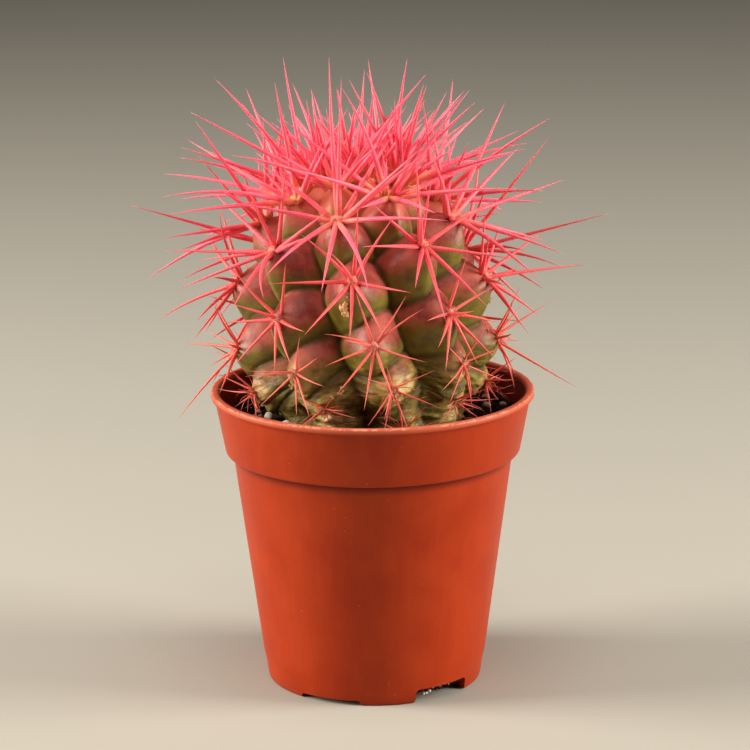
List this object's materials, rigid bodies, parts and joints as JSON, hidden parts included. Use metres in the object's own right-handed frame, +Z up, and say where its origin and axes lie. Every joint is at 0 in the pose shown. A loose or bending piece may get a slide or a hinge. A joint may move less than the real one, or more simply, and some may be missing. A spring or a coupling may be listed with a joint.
{
  "type": "potted golden barrel cactus",
  "caption": "Small round tubercled cactus with long stiff spines, growing in soil in a tapered plastic nursery pot with a deep collar and drain notches.",
  "frame": {"origin": "on the pot's axis, at the level of the foot ring that the pot stands on, in the middle of the plant's reach to both sides and to front and back", "axes": "+Z up along the pot's axis, -Y towards the front of the picture, +X to the right as seen from the front"},
  "size_m": [0.0812, 0.078, 0.1096],
  "materials": {
    "terracotta_plastic": "satin",
    "potting_soil": "matte",
    "plant": "satin"
  },
  "bodies": {
    "root": {"pot": "terracotta_plastic", "soil": "potting_soil", "cactus": "plant"}
  },
  "joints": []
}
